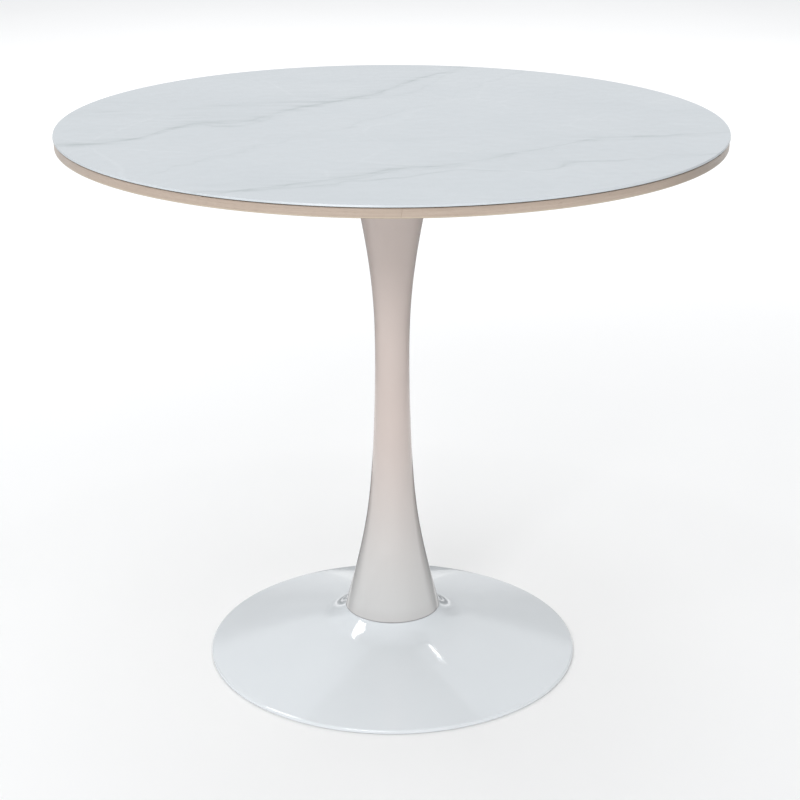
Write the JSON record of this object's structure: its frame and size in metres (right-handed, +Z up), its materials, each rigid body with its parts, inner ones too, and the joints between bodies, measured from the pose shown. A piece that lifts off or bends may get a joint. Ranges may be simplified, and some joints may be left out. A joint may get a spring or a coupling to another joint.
{
  "type": "round pedestal table",
  "caption": "Round pedestal table: thin marble-look top on a wood-edged board, waisted steel column, trumpet-shaped weighted base on adjustable feet.",
  "frame": {"origin": "on the floor, under the centre of the column", "axes": "+Z up; +X to the right and -Y towards a person facing the seam in the edge band; round about Z"},
  "size_m": [0.8499, 0.85, 0.737],
  "materials": {
    "marble_face": "polished sintered stone with soft grey veins",
    "adhesive": "set adhesive",
    "board": "raw fibreboard",
    "backing": "matt balancing sheet",
    "edge_wood": "satin lacquered beige wood strip",
    "insert_zinc": "zinc plated",
    "plate_paint": "white powder coat",
    "screw_zinc": "zinc plated",
    "column_paint": "gloss white lacquer",
    "flange_steel": "plain steel, welded",
    "gasket_silicone": "grey silicone",
    "base_paint": "gloss white lacquer",
    "cast_iron": "as cast, black primer",
    "glide_nylon": "moulded nylon",
    "sole_rubber": "non-slip sole"
  },
  "bodies": {
    "table": {"marble_slab": "marble_face", "adhesive_bed": "adhesive", "core_board": "board", "backing_sheet": "backing", "edge_band": "edge_wood", "threaded_inserts": "insert_zinc", "mounting_plate": "plate_paint", "top_screws": "screw_zinc", "top_screw_washers": "screw_zinc", "flange_bolts": "screw_zinc", "column_shell": "column_paint", "column_top_flange": "flange_steel", "column_bottom_flange": "flange_steel", "weld_nuts": "flange_steel", "column_gasket": "gasket_silicone", "base_shell": "base_paint", "hub_plate": "flange_steel", "column_bolts": "screw_zinc", "column_bolt_washers": "screw_zinc", "column_spring_washers": "screw_zinc", "counterweight": "cast_iron", "weight_studs": "screw_zinc", "weight_washers": "screw_zinc", "weight_nuts": "screw_zinc", "leveller_bushes": "screw_zinc"},
    "foot_front_left": {"foot_sole_front_left": "sole_rubber", "foot_pad_front_left": "glide_nylon", "foot_stem_front_left": "screw_zinc"},
    "foot_front_right": {"foot_sole_front_right": "sole_rubber", "foot_pad_front_right": "glide_nylon", "foot_stem_front_right": "screw_zinc"},
    "foot_back_right": {"foot_sole_back_right": "sole_rubber", "foot_pad_back_right": "glide_nylon", "foot_stem_back_right": "screw_zinc"},
    "foot_back_left": {"foot_sole_back_left": "sole_rubber", "foot_pad_back_left": "glide_nylon", "foot_stem_back_left": "screw_zinc"}
  },
  "joints": [
    {"name": "level_front_left", "type": "slide", "parent": "table", "child": "foot_front_left", "axis": [0, 0, -1], "range_m": [0, 0.006]},
    {"name": "level_front_right", "type": "slide", "parent": "table", "child": "foot_front_right", "axis": [0, 0, -1], "range_m": [0, 0.006]},
    {"name": "level_back_right", "type": "slide", "parent": "table", "child": "foot_back_right", "axis": [0, 0, -1], "range_m": [0, 0.006]},
    {"name": "level_back_left", "type": "slide", "parent": "table", "child": "foot_back_left", "axis": [0, 0, -1], "range_m": [0, 0.006]}
  ]
}
